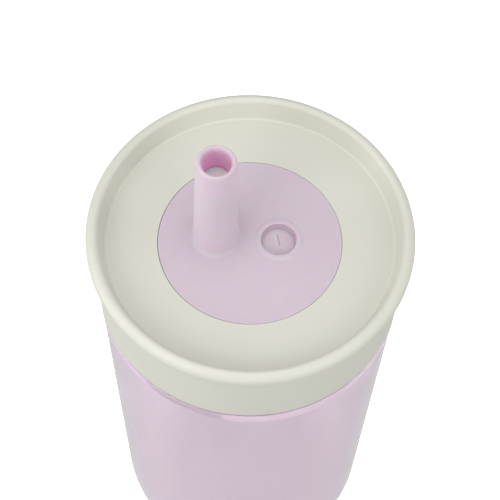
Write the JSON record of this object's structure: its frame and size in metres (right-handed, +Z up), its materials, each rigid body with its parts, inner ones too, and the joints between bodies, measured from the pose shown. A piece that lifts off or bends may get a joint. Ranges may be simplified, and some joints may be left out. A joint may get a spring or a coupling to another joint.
{
  "type": "sippy cup",
  "caption": "Toddler straw cup: translucent tapered beaker, screw-on ring lid with gasket, soft flush insert with spout and slit vent, and a drinking straw below.",
  "frame": {"origin": "centre of the base, on the surface that the cup stands on", "axes": "+Z up along the cup's axis; +X from the spout, which is at -X, towards the vent; the spout and vent lie on the XZ plane to within 1.5 mm"},
  "size_m": [0.076, 0.076, 0.1542],
  "materials": {
    "frosted_lilac_plastic": "tinted translucent moulded plastic with a light frost, smooth outside",
    "sage_satin_plastic": "satin moulded plastic, pale sage cream",
    "clear_seal_silicone": "translucent milky silicone, matte",
    "lilac_silicone": "soft matte lilac silicone, slightly translucent",
    "straw_plastic": "smooth translucent pale lilac tube"
  },
  "bodies": {
    "cup": {"cup_body": "frosted_lilac_plastic"},
    "lid_seal": {"lid_gasket": "clear_seal_silicone"},
    "lid": {"lid_ring": "sage_satin_plastic"},
    "insert": {"spout_insert": "lilac_silicone", "straw_tube": "straw_plastic"}
  },
  "joints": [
    {"name": "lid_lift", "type": "slide", "parent": "cup", "child": "lid_seal", "axis": [0, 0, 1], "range_m": [0, 0.0075]},
    {"name": "lid_turn", "type": "hinge", "parent": "lid_seal", "child": "lid", "pos_m": [0, 0, 0.1186], "axis": [0, 0, 1], "range_deg": [0, 540]},
    {"name": "insert_pull", "type": "slide", "parent": "lid", "child": "insert", "axis": [0, 0, 1], "range_m": [0, 0.12]}
  ],
  "couplings": [
    {"joint": "lid_lift", "follows": "lid_turn", "m_per_rad": 0.00079577}
  ]
}
